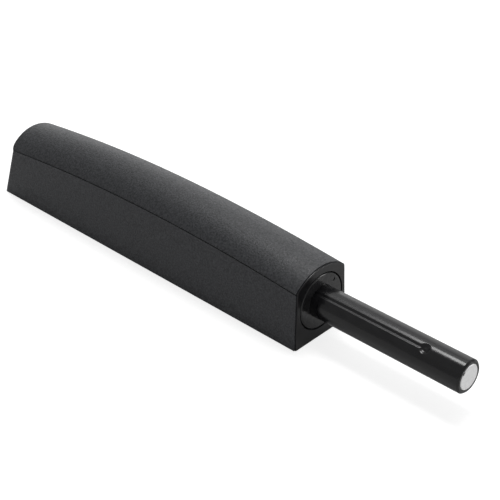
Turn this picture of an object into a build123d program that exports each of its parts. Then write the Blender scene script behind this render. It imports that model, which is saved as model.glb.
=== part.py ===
from build123d import *
import math
import os

# Push to open catch: a surface-mounted adapter housing that holds a long push cartridge.
# Millimetres. The origin lies on the mounting face (z = 0), at the front end of the base's
# sides (y = 0), midway across the width (x = 0). The plunger points along -Y, pushed along +Y.

# ---- housing, outside ----
side_room = 2.55            # from the cartridge to the outside of each side
bed_height = 3.3            # from the mounting face to the cartridge
rear_room = 7.1             # from the cartridge's end to the foot of the rear wall
side_draft = 2.1            # degrees that each side leans in
rear_lean = 19.3            # degrees that the base's rear wall leans forward
crease_front_rise = 5.8     # foot of the arch, above the plunger's axis
crease_middle_rise = 7.6
crease_rear_rise = 4.35
crest_front_rise = 9.2      # top of the arch, above the plunger's axis
crest_middle_rise = 12.05
crest_rear_rise = 8.85
parting_front_rise = 5.3    # joint between base and cover, above the plunger's axis
parting_middle_rise = 7.35
parting_rear_rise = 4.35
arch_stations = 5           # cross-sections along the arched top
corner_radius = 1.2         # upright corners at the rear
edge_radius = 0.35          # of the flange
plate_inset = 0.3           # polished front plate, inside the housing's outline
plate_proud = 0.3           # how far it stands ahead of the grained sides and cover
plate_edge = 0.12           # rounding of its edge

# ---- housing, walls ----
base_wall = 1.6
base_floor = 2.2
front_wall = 3.2
cover_wall = 1.2
parting_clearance = 0.05    # between the cover's rim and the wall it sits on
shadow_gap = 0.3            # height of the groove that shows along the joint
shadow_depth = 0.4
nose_clearance = 0.12       # between the cover and the front wall's arch
front_seam = 0.05           # between the cover and the back of the front plate
rim_height = 1.0            # solid rim round the cover's lower edge
tongue_wall = 0.7
tongue_depth = 1.5
tongue_clearance = 0.1
tongue_inset = 8.0          # the tongues stop this far from each end of the cover
hook_count = 3
hook_length = 6.0
hook_height = 0.8
hook_reach = 0.5
hook_clearance = 0.15

# ---- mounting ----
screw_spacing = 66.0
screw_centre_y = 52.0
screw_hole_radius = 1.9
screw_head_radius = 3.6
countersink_depth = 1.4

# ---- plunger ----
plunger_radius = 3.95
plunger_left_out = 2.2      # in front of the housing when fully pressed
plunger_wall = 1.4
plunger_chamfer = 0.4
latch_travel = 36.0         # from free to latched
over_travel = 2.5           # past the latched place, to let go
magnet_radius = 3.0
magnet_length = 5.0
magnet_proud = 0.05
keeper_thickness = 1.0
pocket_fit = 0.02
rim_notch_angle = 45.0      # degrees from the top towards -X
rim_notch_width = 0.8
rim_notch_depth = 0.6
rim_notch_bite = 0.35       # into the magnet's edge
keyway_angle = 31.5         # degrees from the top towards -X
keyway_width = 0.6
keyway_depth = 0.2
keyway_end_place = 10.1     # centre of the keyway's rounded end, from the plunger's free end
keyway_end_radius = 1.0
keyway_end_depth = 0.4
keyway_lip = 0.1            # rounding of the keyway's edges

# ---- cartridge ----
collar_wall = 1.25          # between plunger and tube
cartridge_wall = 1.0
flange_rim = 0.7            # flange beyond the tube
flange_thickness = 2.0
flange_proud = 0.35
flange_gap = 0.3            # dark ring between flange and front wall
bore_clearance = 0.15       # between cartridge and housing
running_fit = 0.05
sleeve_length = 10.0        # of the collar inside the tube
key_length = 4.0
key_clearance = 0.1
gate_mark_radius = 0.45
gate_mark_depth = 0.15
gate_mark_inset = 1.2       # from the flange's edge
gate_mark_angle = 47.0      # degrees from the top towards +X
snap_width = 3.0
snap_length = 2.6
snap_height = 0.7
snap_clearance = 0.15
snap_place = 4.0            # from the tube's front end to the snap window
bumper_thickness = 1.7
bumper_clearance = 0.3
stop_gap = 0.15             # between bumper and slider at rest

# ---- cam slider and latch ----
slider_clearance = 0.1      # in the tube's bore
slider_ends = 3.9           # slider's length beyond its travel
slider_flat_drop = 1.1      # flat top below the slider's round
spigot_length = 9.0
spigot_fit = 0.03
spring_seat_depth = 6.4     # solid front of the slider, ahead of the spring
spring_bore_radius = 2.2
track_depth = 0.7
lane_offset = 1.2           # each lane of the heart track from the middle
wire_radius = 0.4
lane_clearance = 0.15
heart_length = 8.0          # of the island that the follower goes round
heart_shoulder = 4.0        # its straight part on the return side
lane_merge = 3.0            # from the island's end to where the lanes have joined
track_mouth = 3.3           # the track widens this far ahead of the tip at rest
heart_notch_radius = 0.5
heart_notch_depth = 0.35
tip_from_back = 2.0         # follower's tip to the slider's rear face, at rest
wire_gap = 0.1              # follower above the flat
pivot_place = 15.4          # from the tube's front end to the follower's pivot

# ---- follower's leaf spring ----
leaf_pad_drop = 0.5         # flat on the tube below its round
leaf_thickness = 0.25
leaf_width = 2.8
leaf_foot = 10.0            # length that lies on the pad
leaf_reach = 9.0            # length that bends down through the window
leaf_toe = 1.6
leaf_toe_rise = 0.5
leaf_gap = 0.08             # above the follower
leaf_from_tip = 3.0         # the leaf's low point ahead of the follower's tip
rivet_radius = 0.6
rivet_head_radius = 1.1
rivet_head = 0.2
window_width = 4.2
window_margin = 1.2

# ---- main spring and end plug ----
spring_wire_radius = 0.225
spring_coil_radius = 1.75
spring_turns = 24
plug_flange = 1.2
plug_spigot = 3.9
plug_clearance = 0.5        # behind the slider when fully pressed
guide_radius = 1.1
guide_seat = 3.0
guide_clearance = 1.5       # ahead of the guide when fully pressed
pin_radius = 0.6
pin_fit = 0.03
plug_pin_drop = 3.4         # plug pin below the axis
slider_pin_place = 4.6      # slider pin ahead of the slider's shoulder
pin_short = 0.3             # a pin's end inside the surface it lies under

# ---- cradle and retaining clip ----
rib_places = (12.0, 31.0, 52.0, 92.0)
rib_thickness = 2.0
rib_rise = 1.2              # rib tops above the axis
clip_place = 70.0
clip_thickness = 0.8
clip_leg = 0.75
clip_groove_depth = 0.4
clip_fit = 0.05
clip_slot = 0.1
clip_cheek = 1.2            # wall each side of the clip's slot
clip_tab_width = 5.0
clip_tab_rise = 1.6         # tab above the clip's arch

# ---- sizes that follow from those above ----
full_travel = latch_travel + over_travel
plunger_reach = full_travel + plunger_left_out
keyway_end_y = keyway_end_place - plunger_reach
cartridge_radius = plunger_radius + collar_wall + cartridge_wall
flange_radius = cartridge_radius + flange_rim
plunger_height = bed_height + cartridge_radius
housing_width = 2 * (cartridge_radius + side_room)
crease_front = plunger_height + crease_front_rise
crease_middle = plunger_height + crease_middle_rise
crease_rear = plunger_height + crease_rear_rise
crest_front = plunger_height + crest_front_rise
crest_middle = plunger_height + crest_middle_rise
crest_rear = plunger_height + crest_rear_rise
parting_front = plunger_height + parting_front_rise
parting_middle = plunger_height + parting_middle_rise
parting_rear = plunger_height + parting_rear_rise
tube_bore = cartridge_radius - cartridge_wall
collar_bore = plunger_radius + running_fit
tube_front = flange_thickness - flange_proud
sleeve_back = tube_front + sleeve_length
slider_front = sleeve_back + bumper_thickness + stop_gap
slider_back = slider_front + full_travel + slider_ends
slider_radius = tube_bore - slider_clearance
slider_flat = slider_radius - slider_flat_drop
leaf_pad = cartridge_radius - leaf_pad_drop
plunger_bore = plunger_radius - plunger_wall
tip_y = slider_back - tip_from_back
pivot_y = tube_front + pivot_place
plug_front = slider_back + full_travel + plug_clearance
tube_back = plug_front + plug_spigot
cartridge_back = tube_back + plug_flange
housing_length = cartridge_back + rear_room
spring_front = slider_front + spring_seat_depth
lane_width = 2 * (wire_radius + lane_clearance)
wire_height = plunger_height + slider_flat + wire_gap + wire_radius
slider_pin_y = slider_front - slider_pin_place
plug_pin_y = (plug_front + tube_back) / 2
leaf_low_y = tip_y - leaf_from_tip
leaf_bend_y = leaf_low_y - leaf_reach
rim_width = base_wall + tongue_clearance + tongue_wall
cover_back = housing_length - crease_rear * math.tan(math.radians(rear_lean))
rear_wall = base_wall / math.cos(math.radians(rear_lean))
far = 400.0                 # reach of cutting tools


def bowed(y, front, middle, rear):
    """Height at y of a shallow curve through three heights along the cover."""
    u = y / cover_back
    return front + (4 * middle - 3 * front - rear) * u + 2 * (front + rear - 2 * middle) * u * u


def crease_height(y):
    return bowed(y, crease_front, crease_middle, crease_rear)


def crest_height(y):
    return bowed(y, crest_front, crest_middle, crest_rear)


def parting_height(y):
    return bowed(y, parting_front, parting_middle, parting_rear)


def half_width(z):
    return housing_width / 2 - z * math.tan(math.radians(side_draft))


def block(x0, x1, y0, y1, z0, z1):
    """Box between two corners."""
    return Pos((x0 + x1) / 2, (y0 + y1) / 2, (z0 + z1) / 2) * Box(x1 - x0, y1 - y0, z1 - z0)


def slab(y0, y1, z0=-far, z1=far):
    """Everything between two planes across the length, or within a height range too."""
    return block(-far, far, y0, y1, z0, z1)


def round_bar(radius, y0, y1, x=0.0, rise=0.0):
    """Cylinder along Y, placed from the plunger's axis."""
    aligned = (Align.CENTER, Align.CENTER, Align.MIN)
    return Pos(x, y0, plunger_height + rise) * Rot(-90, 0, 0) * Cylinder(radius, y1 - y0, align=aligned)


def cross_pin(radius, length, y, rise=0.0):
    """Cylinder along X, centred on the middle plane."""
    return Pos(0, y, plunger_height + rise) * Rot(0, 90, 0) * Cylinder(radius, length)


def upright_pin(radius, x, y, z0, z1):
    """Cylinder along Z between two heights."""
    return Pos(x, y, z0) * Cylinder(radius, z1 - z0, align=(Align.CENTER, Align.CENTER, Align.MIN))


def across(points, x0=-far, x1=far):
    """Prism along X whose outline is given as (y, z) points."""
    outline = Polyline(*[(x0, y, z) for y, z in points], close=True)
    return extrude(make_face(outline.edges()), amount=x1 - x0, dir=(1, 0, 0))


def upright(points, z0, z1):
    """Prism along Z whose outline is given as (x, y) points."""
    outline = Polyline(*[(x, y, z0) for x, y in points], close=True)
    return extrude(make_face(outline.edges()), amount=z1 - z0, dir=(0, 0, 1))


def turned(shape, degrees):
    """Shape turned about the plunger's axis, from the top towards -X."""
    return Pos(0, 0, plunger_height) * Rot(0, -degrees, 0) * Pos(0, 0, -plunger_height) * shape


def arch_block(inset=0.0, low=0.0, start=0.0):
    """Block with drafted sides and an arched, bowed top, all drawn in by the inset."""
    faces = []
    for station in range(arch_stations):
        y = start + (housing_length - start) * station / (arch_stations - 1)
        crease, crest = crease_height(y), crest_height(y) - inset
        foot, shoulder = half_width(low) - inset, half_width(crease) - inset
        sides = Polyline((-shoulder, y, crease), (-foot, y, low), (foot, y, low), (shoulder, y, crease))
        top = ThreePointArc((shoulder, y, crease), (0, y, crest), (-shoulder, y, crease))
        faces.append(make_face(sides.edges() + top.edges()))
    return loft(faces)


def above_parting(lift=0.0):
    """Everything above the joint between base and cover, raised by the lift."""
    ends = (-2, housing_length / 2, housing_length + 2)
    points = [(-far, y, parting_height(y) + lift) for y in ends]
    curve = ThreePointArc(*points)
    lid = Polyline(points[-1], (-far, ends[-1], far), (-far, ends[0], far), points[0])
    return extrude(make_face(curve.edges() + lid.edges()), amount=2 * far, dir=(1, 0, 0))


def rear_cut(lean_setback=0.0, end_setback=0.0):
    """Everything behind the leaning rear wall and the upright end of the cover."""
    lean = math.tan(math.radians(rear_lean))
    back, end = housing_length - lean_setback, cover_back - end_setback
    knee = (back - end) / lean
    return across([(back + lean, -1), (end, knee), (end, far), (far, far), (far, -1)])


def outer_block():
    """The housing's whole outside, with its rounded rear corners."""
    whole = arch_block() - rear_cut()
    side = half_width(crease_rear) - corner_radius
    corners = [e for e in whole.edges() if e.center().Y > cover_back - corner_radius
               and abs(e.center().X) > side and e.bounding_box().size.Z > 2 * corner_radius]
    return fillet(corners, corner_radius)


def cover_outline():
    """Upright prism with the cover's rounded rear corners."""
    side = half_width(crease_rear)
    plan = upright([(-side, -1), (side, -1), (side, cover_back), (-side, cover_back)], 0, far)
    return fillet(plan.edges().filter_by(Axis.Z).sort_by(Axis.Y)[-2:], corner_radius)


def hook_boxes(slack):
    """Snap hooks on the cover's tongues, or with slack the pockets that take them."""
    boxes = []
    first, last = tongue_inset + hook_length, cover_back - tongue_inset - hook_length
    for number in range(hook_count):
        y = first + (last - first) * number / (hook_count - 1)
        low = parting_height(y) - tongue_depth
        face = half_width(low) - base_wall - tongue_clearance
        reach, half = hook_reach + slack, hook_length / 2 + slack
        hook = block(face - tongue_wall / 2, face + reach, y - half, y + half,
                     low - slack, low + hook_height + slack)
        boxes += [hook, mirror(hook, about=Plane.YZ)]
    return boxes


def screw_places():
    return [screw_centre_y - screw_spacing / 2, screw_centre_y + screw_spacing / 2]


def front_plate():
    """Polished face of the front wall, with its rounded edge."""
    plate = arch_block(plate_inset, start=-plate_proud) & slab(-plate_proud, 0)
    rim = [e for e in plate.edges() if e.center().Y < -plate_edge and e.center().Z > plate_edge
           and e.bounding_box().size.Y < plate_edge]
    return fillet(rim, plate_edge)


def housing_base():
    room = arch_block(base_wall, low=base_floor) & slab(front_wall, far, base_floor)
    room -= rear_cut(rear_wall, rear_wall)
    base = outer_block() - above_parting() - room
    base += arch_block(cover_wall + nose_clearance) & slab(0, front_wall)
    base += front_plate()
    ribs = [(y, rib_thickness) for y in rib_places] + [(clip_place, clip_thickness + 2 * clip_cheek)]
    for y, thickness in ribs:
        rib = slab(y - thickness / 2, y + thickness / 2, base_floor / 2, plunger_height + rib_rise)
        base += rib & arch_block(base_wall / 2)
    base -= round_bar(cartridge_radius + bore_clearance, -1, cartridge_back + bore_clearance)
    base -= round_bar(flange_radius + flange_gap, -1, tube_front)
    slot = clip_thickness / 2 + clip_slot
    base -= slab(clip_place - slot, clip_place + slot, base_floor) & arch_block(base_wall)
    for y in screw_places():
        base -= upright_pin(screw_hole_radius, 0, y, -1, base_floor + 1)
        sink = Cone(screw_hole_radius, screw_head_radius, countersink_depth)
        base -= Pos(0, y, base_floor - countersink_depth / 2) * sink
    for pocket in hook_boxes(hook_clearance):
        base -= pocket
    return base


def housing_cover():
    cover = arch_block() & cover_outline() & above_parting(parting_clearance)
    cover &= slab(front_seam, far)
    groove = above_parting(-1) - above_parting(parting_clearance + shadow_gap)
    cover -= groove - arch_block(shadow_depth, start=-1)
    rim = above_parting(-1) - above_parting(rim_height)
    rim = (rim & slab(front_wall + bore_clearance, far)) - arch_block(rim_width, start=-1)
    room = arch_block(cover_wall, start=-1) - rear_cut(rear_wall, cover_wall) - rim
    cover -= room
    tongues = arch_block(base_wall + tongue_clearance) - arch_block(rim_width)
    tongues &= above_parting(-tongue_depth) - above_parting(rim_height / 2)
    cover += tongues & slab(tongue_inset, cover_back - tongue_inset)
    for hook in hook_boxes(0.0):
        cover += hook
    return cover


def cartridge_tube():
    tube = round_bar(cartridge_radius, tube_front, tube_back) - round_bar(tube_bore, 0, cartridge_back)
    half_snap = snap_width / 2 + snap_clearance
    snap_y = tube_front + snap_place
    tube -= block(-far, far, snap_y, snap_y + snap_length + 2 * snap_clearance,
                  plunger_height - half_snap, plunger_height + half_snap)
    pad_back = tip_y + 2 * window_margin
    pad_front = leaf_bend_y - leaf_foot - window_margin
    tube -= slab(pad_front, pad_back, plunger_height + leaf_pad)
    tube -= block(-window_width / 2, window_width / 2, leaf_bend_y, tip_y + window_margin,
                  plunger_height, far)
    tube -= upright_pin(wire_radius + running_fit, 0, pivot_y, plunger_height, far)
    tube -= upright_pin(rivet_radius + pin_fit, 0, leaf_bend_y - leaf_foot / 2, plunger_height, far)
    half_groove = clip_thickness / 2 + clip_slot
    ring = round_bar(far, clip_place - half_groove, clip_place + half_groove)
    tube -= ring - round_bar(cartridge_radius - clip_groove_depth, 0, cartridge_back)
    return tube - cross_pin(pin_radius + pin_fit, far, plug_pin_y, -plug_pin_drop)


def front_collar():
    flange = round_bar(flange_radius, -flange_proud, tube_front)
    flange = fillet(flange.edges().filter_by(GeomType.CIRCLE).sort_by(Axis.Y)[0], edge_radius)
    collar = flange + round_bar(tube_bore - running_fit, tube_front, sleeve_back)
    collar -= round_bar(collar_bore, -1, sleeve_back + 1)
    half_key = keyway_width / 2 - key_clearance
    key = block(-half_key, half_key, sleeve_back - key_length, sleeve_back,
                plunger_height + plunger_radius - keyway_depth + key_clearance,
                plunger_height + collar_bore + key_clearance)
    collar += turned(key, keyway_angle)
    snap_y = tube_front + snap_place + snap_clearance
    snap_x = tube_bore + snap_height
    snaps = block(-snap_x, snap_x, snap_y, snap_y + snap_length,
                  plunger_height - snap_width / 2, plunger_height + snap_width / 2)
    collar += snaps - round_bar(collar_bore + running_fit, 0, sleeve_back)
    mark = round_bar(gate_mark_radius, -1, gate_mark_depth - flange_proud,
                     rise=flange_radius - gate_mark_inset)
    return collar - turned(mark, -gate_mark_angle)


def bumper_ring():
    ring = round_bar(tube_bore - running_fit, sleeve_back, sleeve_back + bumper_thickness)
    return ring - round_bar(plunger_radius + bumper_clearance, 0, slider_front)


def rim_notch():
    tip = -plunger_reach
    notch = block(-rim_notch_width / 2, rim_notch_width / 2, tip - 1, tip + rim_notch_depth,
                  plunger_height + magnet_radius - rim_notch_bite,
                  plunger_height + magnet_radius + rim_notch_depth)
    return turned(notch, rim_notch_angle)


def plunger_rod():
    tip = -plunger_reach
    rod = round_bar(plunger_radius, tip, slider_front)
    rod = chamfer(rod.edges().filter_by(GeomType.CIRCLE).sort_by(Axis.Y)[0], plunger_chamfer)
    pocket_back = tip - magnet_proud + magnet_length + keeper_thickness
    floor = plunger_height + plunger_radius
    keyway = block(-keyway_width / 2, keyway_width / 2, keyway_end_y, slider_front + 1,
                   floor - keyway_depth, floor + 1)
    rod -= turned(keyway, keyway_angle)
    lips = [e for e in rod.edges() if e.length > slider_front and e.center().Z > plunger_height
            and abs(math.hypot(e.center().X, e.center().Z - plunger_height) - plunger_radius) < 0.01]
    rod = fillet(lips, keyway_lip)
    rod -= turned(upright_pin(keyway_end_radius, 0, keyway_end_y, floor - keyway_end_depth, floor + 1),
                  keyway_angle)
    rod -= round_bar(magnet_radius + pocket_fit, tip - 1, pocket_back)
    rod -= round_bar(plunger_bore, pocket_back + plunger_wall, slider_front + 1)
    return rod - rim_notch() - cross_pin(pin_radius + pin_fit, far, slider_pin_y)


def magnet():
    face = -plunger_reach - magnet_proud
    disc = round_bar(magnet_radius, face, face + magnet_length)
    disc = chamfer(disc.edges().filter_by(GeomType.CIRCLE).sort_by(Axis.Y)[0], magnet_proud * 3)
    return disc - rim_notch()


def magnet_keeper():
    back = -plunger_reach - magnet_proud + magnet_length
    return round_bar(magnet_radius, back, back + keeper_thickness)


def heart_track(z0, z1):
    """Lane out, notch, and return lane round the island, open at the slider's rear."""
    side, inner = lane_offset + lane_width / 2, lane_offset - lane_width / 2
    front = tip_y - full_travel - lane_width / 2 - wire_radius
    island = tip_y - latch_travel + heart_notch_radius - heart_notch_depth
    merge = island + heart_length + lane_merge
    mouth = tip_y - track_mouth
    lanes = upright([(-side, front), (side, front), (side, island + heart_shoulder + lane_width),
                     (-inner, merge), (-inner, mouth - lane_width), (side, mouth + lane_width),
                     (side, slider_back + 1), (-side, slider_back + 1)], z0, z1)
    heart = upright([(-inner, island), (inner, island), (inner, island + heart_shoulder),
                     (-inner, island + heart_length)], z0, z1)
    heart -= upright_pin(heart_notch_radius, 0, tip_y - latch_travel, z0, z1)
    return lanes - heart


def cam_slider():
    slider = round_bar(slider_radius, slider_front, slider_back)
    slider += round_bar(plunger_bore - spigot_fit, slider_front - spigot_length, slider_front)
    top = plunger_height + slider_flat
    slider -= slab(slider_front - 1, slider_back + 1, top)
    slider -= heart_track(top - track_depth, top + 1)
    slider -= round_bar(spring_bore_radius, spring_front, slider_back + 1)
    return slider - cross_pin(pin_radius + pin_fit, far, slider_pin_y)


def slider_pin():
    return cross_pin(pin_radius, 2 * (plunger_radius - pin_short), slider_pin_y)


def latch_follower():
    """Bent wire: one end turns in the tube's wall, the other runs in the heart track."""
    top = plunger_height + cartridge_radius - 2 * wire_gap
    foot = plunger_height + slider_flat - track_depth + wire_gap
    path = FilletPolyline((0, pivot_y, top), (0, pivot_y, wire_height), (-lane_offset, tip_y, wire_height),
                          (-lane_offset, tip_y, foot), radius=1.5 * wire_radius)
    return sweep(Plane(origin=path @ 0, z_dir=path % 0) * Circle(wire_radius), path=path)


def follower_leaf():
    pad = plunger_height + leaf_pad
    low = wire_height + wire_radius + leaf_gap
    under = [(leaf_bend_y - leaf_foot, pad), (leaf_bend_y, pad), (leaf_low_y, low),
             (leaf_low_y + leaf_toe, low + leaf_toe_rise)]
    over = [(y, z + leaf_thickness) for y, z in reversed(under)]
    leaf = across(under + over, -leaf_width / 2, leaf_width / 2)
    return leaf - upright_pin(rivet_radius + pin_fit, 0, leaf_bend_y - leaf_foot / 2, 0, far)


def leaf_rivet():
    y = leaf_bend_y - leaf_foot / 2
    seat = plunger_height + leaf_pad + leaf_thickness
    stem = upright_pin(rivet_radius, 0, y, plunger_height + tube_bore + pin_fit, seat)
    return stem + upright_pin(rivet_head_radius, 0, y, seat, seat + rivet_head)


def end_plug():
    plug = round_bar(cartridge_radius, tube_back, cartridge_back)
    plug += round_bar(tube_bore - running_fit, plug_front, tube_back)
    plug -= round_bar(guide_radius + pin_fit, plug_front - 1, plug_front + guide_seat)
    return plug - cross_pin(pin_radius + pin_fit, far, plug_pin_y, -plug_pin_drop)


def plug_pin():
    chord = math.sqrt(cartridge_radius ** 2 - (plug_pin_drop + pin_radius) ** 2)
    return cross_pin(pin_radius, 2 * (chord - pin_short), plug_pin_y, -plug_pin_drop)


def spring_guide():
    guide = round_bar(guide_radius, spring_front + full_travel + guide_clearance, plug_front + guide_seat)
    return fillet(guide.edges().filter_by(GeomType.CIRCLE).sort_by(Axis.Y)[0], guide_radius / 2)


def main_spring():
    start = spring_front + spring_wire_radius + pin_fit
    length = plug_front - spring_wire_radius - pin_fit - start
    coil = Helix(pitch=length / spring_turns, height=length, radius=spring_coil_radius)
    wire = sweep(Plane(origin=coil @ 0, z_dir=coil % 0) * Circle(spring_wire_radius), path=coil)
    return Pos(0, start, plunger_height) * Rot(-90, 0, 0) * wire


def retaining_clip():
    """Flat steel U that drops over the tube and into its groove."""
    inner = cartridge_radius - clip_groove_depth + clip_fit
    outer = inner + clip_leg
    y0, y1 = clip_place - clip_thickness / 2, clip_place + clip_thickness / 2
    floor = base_floor + bore_clearance
    clip = round_bar(outer, y0, y1)
    clip += block(-outer, outer, y0, y1, floor, plunger_height)
    clip += block(-clip_tab_width / 2, clip_tab_width / 2, y0, y1, plunger_height,
                  plunger_height + outer + clip_tab_rise)
    clip -= round_bar(inner, y0 - 1, y1 + 1)
    return clip - block(-inner, inner, y0 - 1, y1 + 1, 0, plunger_height)


nodes = {
    "housing_base": housing_base,
    "housing_cover": housing_cover,
    "retaining_clip": retaining_clip,
    "cartridge_tube": cartridge_tube,
    "front_collar": front_collar,
    "bumper_ring": bumper_ring,
    "end_plug": end_plug,
    "plug_pin": plug_pin,
    "spring_guide": spring_guide,
    "main_spring": main_spring,
    "latch_follower": latch_follower,
    "follower_leaf": follower_leaf,
    "leaf_rivet": leaf_rivet,
    "plunger_rod": plunger_rod,
    "magnet": magnet,
    "magnet_keeper": magnet_keeper,
    "cam_slider": cam_slider,
    "slider_pin": slider_pin,
}

os.makedirs("parts", exist_ok=True)
for name, make in nodes.items():
    export_step(make(), f"parts/{name}.step")
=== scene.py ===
import bpy
import bmesh
import math
from mathutils import Matrix, Vector


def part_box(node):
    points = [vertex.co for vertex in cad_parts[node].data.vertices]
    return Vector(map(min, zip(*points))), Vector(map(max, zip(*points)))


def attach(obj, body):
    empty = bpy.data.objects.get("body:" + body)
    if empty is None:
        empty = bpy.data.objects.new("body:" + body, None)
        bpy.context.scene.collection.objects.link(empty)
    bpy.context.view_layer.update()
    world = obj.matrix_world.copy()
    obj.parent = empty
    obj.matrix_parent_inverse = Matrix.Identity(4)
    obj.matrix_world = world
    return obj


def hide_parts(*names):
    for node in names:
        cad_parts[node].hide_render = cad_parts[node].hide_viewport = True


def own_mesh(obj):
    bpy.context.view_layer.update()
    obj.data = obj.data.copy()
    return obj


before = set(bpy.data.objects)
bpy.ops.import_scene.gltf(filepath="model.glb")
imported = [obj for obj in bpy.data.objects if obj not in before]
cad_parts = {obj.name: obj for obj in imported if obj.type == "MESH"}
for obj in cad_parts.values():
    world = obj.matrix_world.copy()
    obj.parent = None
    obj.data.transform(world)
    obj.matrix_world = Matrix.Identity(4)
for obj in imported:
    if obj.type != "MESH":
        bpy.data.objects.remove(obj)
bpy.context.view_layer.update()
print("frame loaded,", len(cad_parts), "nodes")

shadeSpan = (0.35, 0.65)  # the part of a pattern that goes from the dark to the light colour
fleckScale = 0.8  # how fine the dull flecks are, against the grain


def addNode(tree, kind, **values):
    node = tree.nodes.new(kind)
    for name, value in values.items():
        if name in node.inputs:
            node.inputs[name].default_value = value
        else:
            setattr(node, name, value)
    return node


def emptyTree(owner):
    owner.use_nodes = True
    owner.node_tree.nodes.clear()
    return owner.node_tree


def newMaterial(name):
    material = bpy.data.materials.new(name)
    tree = emptyTree(material)
    shader = addNode(tree, "ShaderNodeBsdfPrincipled")
    output = addNode(tree, "ShaderNodeOutputMaterial")
    tree.links.new(shader.outputs["BSDF"], output.inputs["Surface"])
    return material, tree, shader


def objectPlace(tree, stretch=(1, 1, 1)):
    place = addNode(tree, "ShaderNodeTexCoord")
    scale = addNode(tree, "ShaderNodeMapping", Scale=stretch)
    tree.links.new(place.outputs["Object"], scale.inputs["Vector"])
    return scale.outputs["Vector"]


def noisePattern(tree, place, look):
    noise = addNode(tree, "ShaderNodeTexNoise", Scale=look["grain"], Detail=look["detail"],
                    Roughness=look["harsh"])
    tree.links.new(place, noise.inputs["Vector"])
    return noise.outputs["Fac"]


def shadeRange(tree, source, dark, light):
    ramp = addNode(tree, "ShaderNodeValToRGB")
    for stop, place, colour in zip(ramp.color_ramp.elements, shadeSpan, (dark, light)):
        stop.position = place
        stop.color = (*colour, 1)
    tree.links.new(source, ramp.inputs["Fac"])
    return ramp.outputs["Color"]


def roughRange(tree, source, smooth, dull):
    spread = addNode(tree, "ShaderNodeMapRange")
    spread.inputs["To Min"].default_value = smooth
    spread.inputs["To Max"].default_value = dull
    tree.links.new(source, spread.inputs["Value"])
    return spread.outputs["Result"]


def dressShader(tree, shader, look, pattern, wear):
    colour = shadeRange(tree, pattern, look["dark"], look["light"])
    tree.links.new(colour, shader.inputs["Base Color"])
    tree.links.new(roughRange(tree, wear, *look["rough"]), shader.inputs["Roughness"])
    bump = addNode(tree, "ShaderNodeBump", Strength=1.0, Distance=look["depth"])
    tree.links.new(pattern, bump.inputs["Height"])
    tree.links.new(bump.outputs["Normal"], shader.inputs["Normal"])


def mouldedPlastic(name, look):
    material, tree, shader = newMaterial(name)
    place = objectPlace(tree)
    flecks = addNode(tree, "ShaderNodeTexVoronoi", Scale=look["grain"] * fleckScale)
    tree.links.new(place, flecks.inputs["Vector"])
    dressShader(tree, shader, look, noisePattern(tree, place, look), flecks.outputs["Distance"])
    return material


def housingPlastic(name, look, gloss):
    material = mouldedPlastic(name, look)
    tree = material.node_tree
    grained = next(node for node in tree.nodes if node.type == "BSDF_PRINCIPLED")
    output = next(node for node in tree.nodes if node.type == "OUTPUT_MATERIAL")
    polished = addNode(tree, "ShaderNodeBsdfPrincipled")
    place = objectPlace(tree)
    waves = noisePattern(tree, place, gloss)
    dressShader(tree, polished, gloss, waves, waves)
    split = addNode(tree, "ShaderNodeSeparateXYZ")
    ahead = addNode(tree, "ShaderNodeMath", operation="LESS_THAN")  # 1 on the front plate only
    ahead.inputs[1].default_value = gloss["edge"]
    mix = addNode(tree, "ShaderNodeMixShader")
    tree.links.new(place, split.inputs["Vector"])
    tree.links.new(split.outputs["Y"], ahead.inputs[0])
    tree.links.new(ahead.outputs[0], mix.inputs["Fac"])
    tree.links.new(grained.outputs["BSDF"], mix.inputs[1])
    tree.links.new(polished.outputs["BSDF"], mix.inputs[2])
    tree.links.new(mix.outputs[0], output.inputs["Surface"])
    return material


def plungerPlastic(name, look):
    material, tree, shader = newMaterial(name)
    marks = noisePattern(tree, objectPlace(tree, look["stretch"]), look)
    dressShader(tree, shader, look, marks, marks)
    return material


def metalFinish(name, look):
    material, tree, shader = newMaterial(name)
    shader.inputs["Metallic"].default_value = 1.0
    marks = noisePattern(tree, objectPlace(tree), look)
    dressShader(tree, shader, look, marks, marks)
    return material


# grain is how fine a pattern is, detail and harsh how busy, depth its bump in metres
coverGrain = {"dark": (0.012, 0.013, 0.015), "light": (0.053, 0.055, 0.060), "grain": 2300.0,
              "detail": 3.0, "harsh": 0.6, "depth": 0.00009, "rough": (0.42, 0.62)}
coverPlastic = mouldedPlastic("coverPlastic", coverGrain)

# edge is the y up to which the front plate's gloss reaches
# the base's grain colours are set lighter than the cover's, though both are the same plastic, to make
# up for the weaker light on its sides: painted light on top of the grain
baseGrainAndPaintedLight = {"dark": (0.020, 0.021, 0.024), "light": (0.068, 0.070, 0.077), "grain": 2600.0,
             "detail": 3.0, "harsh": 0.6, "depth": 0.00005, "rough": (0.45, 0.6)}
frontGloss = {"dark": (0.004, 0.004, 0.005), "light": (0.008, 0.008, 0.009), "grain": 320.0,
              "detail": 2.0, "harsh": 0.4, "depth": 0.00003, "rough": (0.26, 0.34), "edge": 0.0}
basePlastic = housingPlastic("basePlastic", baseGrainAndPaintedLight, frontGloss)

cartridgeGrain = {"dark": (0.014, 0.014, 0.015), "light": (0.022, 0.022, 0.023), "grain": 480.0,
                  "detail": 3.0, "harsh": 0.6, "depth": 0.00014, "rough": (0.1, 0.18)}
cartridgePlastic = mouldedPlastic("cartridgePlastic", cartridgeGrain)

sliderLook = {"dark": (0.66, 0.66, 0.63), "light": (0.74, 0.74, 0.71), "grain": 900.0,
              "detail": 3.0, "harsh": 0.6, "depth": 0.000004, "rough": (0.32, 0.45)}
sliderPlastic = mouldedPlastic("sliderPlastic", sliderLook)

rubberLook = {"dark": (0.018, 0.018, 0.018), "light": (0.032, 0.032, 0.032), "grain": 3000.0,
              "detail": 3.0, "harsh": 0.6, "depth": 0.00001, "rough": (0.7, 0.9)}
bumperRubber = mouldedPlastic("bumperRubber", rubberLook)

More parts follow.
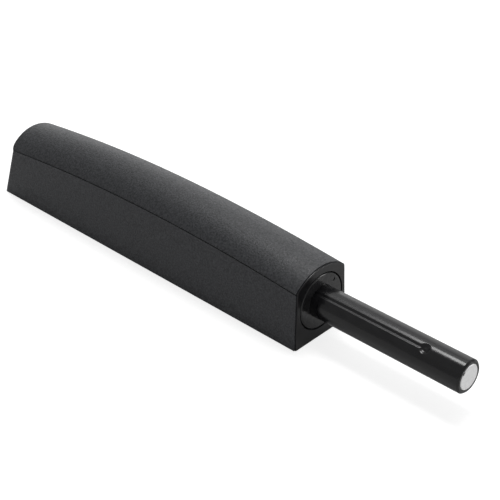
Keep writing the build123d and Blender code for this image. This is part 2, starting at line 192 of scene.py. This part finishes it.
# the plunger's marks are drawn out along its length
plungerGloss = {"dark": (0.004, 0.004, 0.005), "light": (0.009, 0.009, 0.010), "grain": 900.0,
                "detail": 4.0, "harsh": 0.55, "depth": 0.000001, "rough": (0.15, 0.22),
                "stretch": (1, 0.35, 1)}
plungerBlack = plungerPlastic("plungerBlack", plungerGloss)

steelLook = {"dark": (0.42, 0.42, 0.43), "light": (0.62, 0.62, 0.63), "grain": 2500.0,
             "detail": 4.0, "harsh": 0.6, "depth": 0.000003, "rough": (0.22, 0.4)}
springSteel = metalFinish("springSteel", steelLook)

magnetLook = {"dark": (0.94, 0.94, 0.94), "light": (1.0, 1.0, 1.0), "grain": 1400.0,
              "detail": 4.0, "harsh": 0.6, "depth": 0.000004, "rough": (0.5, 0.6)}
magnetNickel = metalFinish("magnetNickel", magnetLook)

nodeMaterials = {
    coverPlastic: ["housing_cover"],
    basePlastic: ["housing_base"],
    cartridgePlastic: ["cartridge_tube", "front_collar", "end_plug"],
    plungerBlack: ["plunger_rod"],
    sliderPlastic: ["cam_slider"],
    bumperRubber: ["bumper_ring"],
    magnetNickel: ["magnet"],
    springSteel: ["retaining_clip", "plug_pin", "spring_guide", "main_spring", "latch_follower",
                  "follower_leaf", "leaf_rivet", "magnet_keeper", "slider_pin"],
}
for material, names in nodeMaterials.items():
    for name in names:
        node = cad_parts[name]
        node.data.materials.clear()
        node.data.materials.append(material)
print("materials on", sum(map(len, nodeMaterials.values())), "nodes")

mergeDistance = 1e-7


def addPiece(name, points, faces, material, body, slotName, *nodes):
    mesh = bpy.data.meshes.new(name)
    mesh.from_pydata(points, [], faces)
    mesh.materials.append(material)
    mesh.validate()
    weld = bmesh.new()
    weld.from_mesh(mesh)
    bmesh.ops.remove_doubles(weld, verts=weld.verts, dist=mergeDistance)
    bmesh.ops.recalc_face_normals(weld, faces=weld.faces)
    weld.to_mesh(mesh)
    weld.free()
    mesh.shade_smooth()
    piece = bpy.data.objects.new(name, mesh)
    bpy.context.scene.collection.objects.link(piece)
    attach(piece, body)
    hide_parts(*nodes)
    return piece


def roundEdges(piece, edges):
    soften = piece.modifiers.new("roundedEdges", "BEVEL")
    soften.width = edges["width"]
    soften.segments = edges["steps"]
    soften.limit_method = "ANGLE"
    soften.angle_limit = math.radians(edges["angle"])  # only edges that turn by more
    soften.harden_normals = True
    soften.use_clamp_overlap = True


def joinRings(first, second, flip=False):
    faces = [(a, b, d, c) for a, b, c, d in zip(first, first[1:], second, second[1:])]
    return [face[::-1] for face in faces] if flip else faces


# heights in threes are at the front, halfway and at the rear
coverShape = {"width": 0.0175, "draft": 2.1, "front": 0.00005,
              "crease": (0.0153, 0.0171, 0.01385), "crest": (0.0187, 0.02155, 0.01835),
              "parting": (0.0148, 0.01685, 0.01385), "wall": 0.0012, "lift": 0.00005,
              "groove": 0.0002, "grooveDepth": 0.00024, "corner": 0.0012,
              "edges": {"width": 0.00012, "steps": 3, "angle": 30},
              "stations": 60, "endStations": 10, "arcSteps": 56, "sideSteps": 3}
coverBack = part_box("housing_cover")[1].y


def bowed(y, heights):
    front, middle, rear = heights
    u = y / coverBack
    return front + (4 * middle - 3 * front - rear) * u + 2 * (front + rear - 2 * middle) * u * u


def halfWidth(z, look):
    return look["width"] / 2 - z * math.tan(math.radians(look["draft"]))


def archPoints(y, inset, low, look):
    crease, crest = bowed(y, look["crease"]), bowed(y, look["crest"])
    chord, rise = halfWidth(crease, look), crest - crease
    radius = (chord * chord + rise * rise) / (2 * rise)
    middle = crest - radius
    radius -= inset
    end = math.acos(min(1.0, (max(low, crease) - middle) / radius))
    angles = [end * (1 - 2 * step / look["arcSteps"]) for step in range(look["arcSteps"] + 1)]
    return [(radius * math.sin(angle), middle + radius * math.cos(angle)) for angle in angles]


def coverOutside(y, look):
    foot = bowed(y, look["parting"]) + look["lift"]
    lip = foot + look["groove"]
    inner = halfWidth(foot, look) - look["grooveDepth"]
    arch = archPoints(y, 0, lip, look)
    side = []
    for step in range(look["sideSteps"]):
        z = lip + (arch[0][1] - lip) * step / look["sideSteps"]
        side.append((halfWidth(z, look) if z < arch[0][1] else arch[0][0], z))
    points = [(inner, foot), (inner, lip)] + side + arch
    points += [(-x, z) for x, z in reversed(side)] + [(-inner, lip), (-inner, foot)]
    into = max(0.0, y - (coverBack - look["corner"]))  # how far into the rounded rear corner
    flat = halfWidth(look["crease"][2], look) - look["corner"]
    limit = flat + math.sqrt(max(0.0, look["corner"] ** 2 - into ** 2))
    return [(math.copysign(min(abs(x), limit), x), y, z) for x, z in points]


def coverInside(y, look):
    foot = bowed(y, look["parting"]) + look["lift"]
    arch = archPoints(y, look["wall"], foot, look)
    side = arch[0][0]
    below = 2 + look["sideSteps"]  # as many points as the outside has below its arch
    points = [(side, foot)] * below + arch + [(-side, foot)] * below
    return [(x, y, z) for x, z in points]


def makeCover(look):
    count = look["stations"]
    straight = coverBack - look["corner"]
    places = [look["front"] + (straight - look["front"]) * k / count for k in range(count)]
    places += [straight + look["corner"] * math.sin(math.pi / 2 * k / look["endStations"])
               for k in range(look["endStations"] + 1)]
    outside = [coverOutside(y, look) for y in places]
    inside = [coverInside(look["front"] + (y - look["front"]) * (1 - look["wall"] / coverBack), look)
              for y in places]
    across = len(outside[0])
    points = [point for ring in outside + inside for point in ring]
    outer = [[k * across + i for i in range(across)] for k in range(len(places))]
    inner = [[(len(places) + k) * across + i for i in range(across)] for k in range(len(places))]
    faces = joinRings(outer[0], inner[0], True)
    for k in range(len(places) - 1):
        faces += joinRings(outer[k], outer[k + 1])
        faces += joinRings(inner[k], inner[k + 1], True)
        faces += joinRings([outer[k][0], inner[k][0]], [outer[k + 1][0], inner[k + 1][0]])
        faces += joinRings([outer[k][-1], inner[k][-1]], [outer[k + 1][-1], inner[k + 1][-1]], True)
    half = across // 2
    for ring in (outer[-1], inner[-1]):  # the rear end, joined from side to side
        faces += joinRings(ring[:half + 1], ring[::-1][:half + 1])
    faces.append((outer[-1][0], outer[-1][-1], inner[-1][-1], inner[-1][0]))
    cover = addPiece("arched_cover", points, faces, coverPlastic, "housing", "cover_plastic",
                     "housing_cover")
    roundEdges(cover, look["edges"])


makeCover(coverShape)
print("cover made")

# angles are in degrees from the top, towards -x
rodShape = {"radius": 0.00395, "height": 0.0095, "tip": -0.0407, "back": 0.0135, "chamfer": 0.0004,
            "magnetPocket": 0.00302, "pocketLength": 0.00595, "bore": 0.00255, "boreDepth": 0.009,
            "grooveAngle": 31.5, "grooveWidth": 0.00058, "grooveDepth": 0.0002, "grooveLip": 0.00058,
            "grooveEnd": -0.0306, "pitRadius": 0.00095, "pitDepth": 0.00045, "pitLip": 0.001,
            "notchAngle": 45.0, "notchWidth": 0.0008, "notchDepth": 0.0006, "notchLip": 0.0001,
            "fineAngle": 32.0, "fineSteps": 128, "coarseSteps": 220,
            "tipSteps": 12, "pitSteps": 40, "backSteps": 40,
            "edges": {"width": 0.00008, "steps": 2, "angle": 40}}
magnetEdges = {"width": 0.00006, "steps": 3, "angle": 25}


def smoothStep(value):
    value = max(0.0, min(1.0, value))
    return value * value * (3 - 2 * value)


def softDrop(depth, inside, lip):
    return depth * smoothStep(inside / lip + 0.5)  # half the depth right at the edge


def grooveDrop(angle, y, look):
    side = look["radius"] * math.radians(angle - look["grooveAngle"])
    groove = 0.0
    if y > look["grooveEnd"]:
        groove = softDrop(look["grooveDepth"], look["grooveWidth"] / 2 - abs(side), look["grooveLip"])
    away = math.hypot(side, y - look["grooveEnd"])
    return max(groove, softDrop(look["pitDepth"], look["pitRadius"] - away, look["pitLip"]))


def notchDrop(angle, look):
    side = look["magnetPocket"] * math.radians(angle - look["notchAngle"])
    return softDrop(look["notchDepth"], look["notchWidth"] / 2 - abs(side), look["notchLip"])


def rodAngles(look):
    middle, span = look["grooveAngle"], look["fineAngle"]
    fine = [middle - span + 2 * span * k / look["fineSteps"] for k in range(look["fineSteps"])]
    rest = 360 - 2 * span
    coarse = [middle + span + rest * k / look["coarseSteps"] for k in range(look["coarseSteps"])]
    return fine + coarse


def rodPlaces(look):
    start, end = look["tip"] + look["chamfer"], look["back"]
    half = look["pitSteps"] // 2
    reach = look["pitRadius"] + look["pitLip"]
    pit = [look["grooveEnd"] + (k / half - 1) * reach for k in range(look["pitSteps"] + 1)]
    before = [start + (pit[0] - start) * k / look["tipSteps"] for k in range(look["tipSteps"])]
    after = [pit[-1] + (end - pit[-1]) * k / look["backSteps"]
             for k in range(1, look["backSteps"] + 1)]
    return before + pit + after


def makeRod(look):
    angles = rodAngles(look)
    pocketEnd, boreEnd = look["tip"] + look["pocketLength"], look["back"] - look["boreDepth"]
    pocket = [(pocketEnd, 0.0), (pocketEnd, look["magnetPocket"]),
              (look["tip"], look["magnetPocket"]), (look["tip"], look["radius"] - look["chamfer"])]
    skin = [(y, look["radius"]) for y in rodPlaces(look)]
    bore = [(look["back"], look["bore"]), (boreEnd, look["bore"]), (boreEnd, 0.0)]
    points, rings = [], []
    for y, radius in pocket + skin + bore:
        if radius == 0:
            rings.append([len(points)] * len(angles))
            points.append((0, y, look["height"]))
            continue
        onSkin = radius == look["radius"]
        atRim = y == look["tip"] and radius == look["magnetPocket"]
        rings.append([len(points) + k for k in range(len(angles))])
        for angle in angles:
            out = radius - (grooveDrop(angle, y, look) if onSkin else 0)
            along = y + (notchDrop(angle, look) if atRim else 0)
            turn = math.radians(angle)
            points.append((-out * math.sin(turn), along, look["height"] + out * math.cos(turn)))
    faces = []
    for first, second in zip(rings, rings[1:]):
        for k in range(len(angles)):
            after = (k + 1) % len(angles)
            corners = (first[k], first[after], second[after], second[k])
            faces.append(tuple(dict.fromkeys(corners)))  # a triangle where a ring is one point
    rod = addPiece("plunger_skin", points, faces, plungerBlack, "plunger", "plunger_plastic",
                   "plunger_rod")
    roundEdges(rod, look["edges"])


makeRod(rodShape)
roundEdges(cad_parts["magnet"], magnetEdges)
print("plunger made")

# wire is the wire's radius, gap the air between end turns, seat the air at either end
springShape = {"wire": 0.000225, "turns": 22, "endTurns": 1.5, "gap": 0.00001, "seat": 0.00001,
               "turnSteps": 28, "wireSteps": 10}


def springRise(turn, look, length):
    first, last = look["endTurns"], look["endTurns"] + look["turns"]
    close = 2 * look["wire"] + look["gap"]  # pitch of the end turns, which lie side by side
    wide = (length - 2 * first * close) / look["turns"]
    return (min(turn, first) + max(0.0, turn - last)) * close + max(0.0, min(turn, last) - first) * wide


def makeSpring(look):
    low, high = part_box("main_spring")
    middle = (low + high) / 2
    radius = (high.x - low.x) / 2 - look["wire"]
    start = low.y + look["wire"] + look["seat"]
    length = high.y - look["wire"] - look["seat"] - start
    whole = look["turns"] + 2 * look["endTurns"]
    count = round(whole * look["turnSteps"])
    points, faces = [], []
    for k in range(count + 1):
        turn = whole * k / count
        angle = 2 * math.pi * turn
        out = Vector((math.cos(angle), 0, math.sin(angle)))
        centre = Vector((middle.x, start + springRise(turn, look, length), middle.z)) + out * radius
        for step in range(look["wireSteps"]):
            around = 2 * math.pi * step / look["wireSteps"]
            edge = out * math.cos(around) + Vector((0, math.sin(around), 0))
            points.append(centre + look["wire"] * edge)
    rings = [[k * look["wireSteps"] + step % look["wireSteps"] for step in range(look["wireSteps"] + 1)]
             for k in range(count + 1)]
    for first, second in zip(rings, rings[1:]):
        faces += joinRings(first, second)
    faces += [tuple(rings[0][:-1]), tuple(rings[-1][:-1])]
    spring = addPiece("coil_spring", points, faces, springSteel, "housing", "spring_steel",
                      "main_spring")
    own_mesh(spring)


makeSpring(springShape)
print("spring made")

# glossyShare is how much of the white backdrop shiny surfaces pick up
floorLook = {"size": 3.0, "drop": 0.0001, "colour": (0.5, 0.5, 0.5, 1), "lift": 0.78,
             "glossyShare": 0.15}
worldLook = {"fill": 0.25, "glossyShare": 0.1}
white = (1, 1, 1, 1)


def seenShare(tree, glossyShare):
    path = addNode(tree, "ShaderNodeLightPath")
    glossy = addNode(tree, "ShaderNodeMath", operation="MULTIPLY")
    glossy.inputs[1].default_value = glossyShare
    direct = addNode(tree, "ShaderNodeMath", operation="MAXIMUM")
    every = addNode(tree, "ShaderNodeMath", operation="MAXIMUM")
    tree.links.new(path.outputs["Is Glossy Ray"], glossy.inputs[0])
    tree.links.new(path.outputs["Is Camera Ray"], direct.inputs[0])
    tree.links.new(path.outputs["Is Transmission Ray"], direct.inputs[1])
    tree.links.new(direct.outputs[0], every.inputs[0])
    tree.links.new(glossy.outputs[0], every.inputs[1])
    return every.outputs[0]


def makeFloor(look):
    bpy.ops.mesh.primitive_plane_add(size=look["size"], location=(0, 0, -look["drop"]))
    floor = bpy.context.object
    floor.name = "floor"
    material = bpy.data.materials.new("floorPaper")
    tree = emptyTree(material)
    paper = addNode(tree, "ShaderNodeBsdfDiffuse", Color=look["colour"])
    glow = addNode(tree, "ShaderNodeEmission", Color=white)
    lift = addNode(tree, "ShaderNodeMath", operation="MULTIPLY")
    lift.inputs[1].default_value = look["lift"]
    both = addNode(tree, "ShaderNodeAddShader")
    output = addNode(tree, "ShaderNodeOutputMaterial")
    tree.links.new(seenShare(tree, look["glossyShare"]), lift.inputs[0])
    tree.links.new(lift.outputs[0], glow.inputs["Strength"])
    tree.links.new(paper.outputs[0], both.inputs[0])
    tree.links.new(glow.outputs[0], both.inputs[1])
    tree.links.new(both.outputs[0], output.inputs["Surface"])
    floor.data.materials.append(material)


def makeWorld(look):
    world = bpy.data.worlds.new("studio")
    bpy.context.scene.world = world
    tree = emptyTree(world)
    room = addNode(tree, "ShaderNodeBackground", Color=white, Strength=look["fill"])
    backdrop = addNode(tree, "ShaderNodeBackground", Color=white, Strength=1.0)
    mix = addNode(tree, "ShaderNodeMixShader")
    output = addNode(tree, "ShaderNodeOutputWorld")
    tree.links.new(seenShare(tree, look["glossyShare"]), mix.inputs["Fac"])
    tree.links.new(room.outputs[0], mix.inputs[1])
    tree.links.new(backdrop.outputs[0], mix.inputs[2])
    tree.links.new(mix.outputs[0], output.inputs["Surface"])


lampSet = {
    "topLamp": {"place": (0.135, 0.14, 0.67), "size": (0.19, 0.33), "power": 2.0},
    "skyLamp": {"place": (0.25, 0.10, 0.66), "size": (0.60, 0.70), "power": 1.0},
    "rightLamp": {"place": (0.63, 0.335, 0.24), "size": (0.50, 0.50), "power": 0.5},
    "frontLamp": {"place": (0.42, -0.45, 0.10), "size": (0.20, 0.20), "power": 0.9},
    "backLamp": {"place": (0.36, 0.55, 0.10), "size": (0.22, 0.60), "power": 0.6},
}
lampAim = (0, 0, 0.01)


def makeLamp(name, look):
    lamp = bpy.data.lights.new(name, "AREA")
    lamp.shape = "RECTANGLE"
    lamp.size, lamp.size_y = look["size"]
    lamp.energy = look["power"]
    holder = bpy.data.objects.new(name, lamp)
    bpy.context.scene.collection.objects.link(holder)
    place = Vector(look["place"])
    back = (place - Vector(lampAim)).normalized()
    side = Vector((0, 1, 0)).cross(back).normalized()  # so that the second size runs along y
    turn = Matrix((side, back.cross(side), back)).transposed()
    holder.matrix_world = Matrix.Translation(place) @ turn.to_4x4()


cameraSet = {"place": (-0.17639, -0.15144, 0.17221), "aim": (0, 0.01687, 0.0197),
             "roll": -0.555, "lens": 90.72, "shift": (-0.0307, -0.0304), "clip": (0.01, 20)}


def makeCamera(look):
    camera = bpy.data.cameras.new("camera")
    camera.lens = look["lens"]
    camera.shift_x, camera.shift_y = look["shift"]
    camera.clip_start, camera.clip_end = look["clip"]
    holder = bpy.data.objects.new("camera", camera)
    bpy.context.scene.collection.objects.link(holder)
    place = Vector(look["place"])
    turn = (Vector(look["aim"]) - place).to_track_quat("-Z", "Y").to_matrix()
    roll = Matrix.Rotation(math.radians(look["roll"]), 3, "Z")
    holder.matrix_world = Matrix.Translation(place) @ (turn @ roll).to_4x4()
    bpy.context.scene.camera = holder


makeFloor(floorLook)
makeWorld(worldLook)
for lampName, lampLook in lampSet.items():
    makeLamp(lampName, lampLook)
makeCamera(cameraSet)
bpy.context.scene.view_settings.view_transform = "Standard"
print("floor, lamps and camera made")
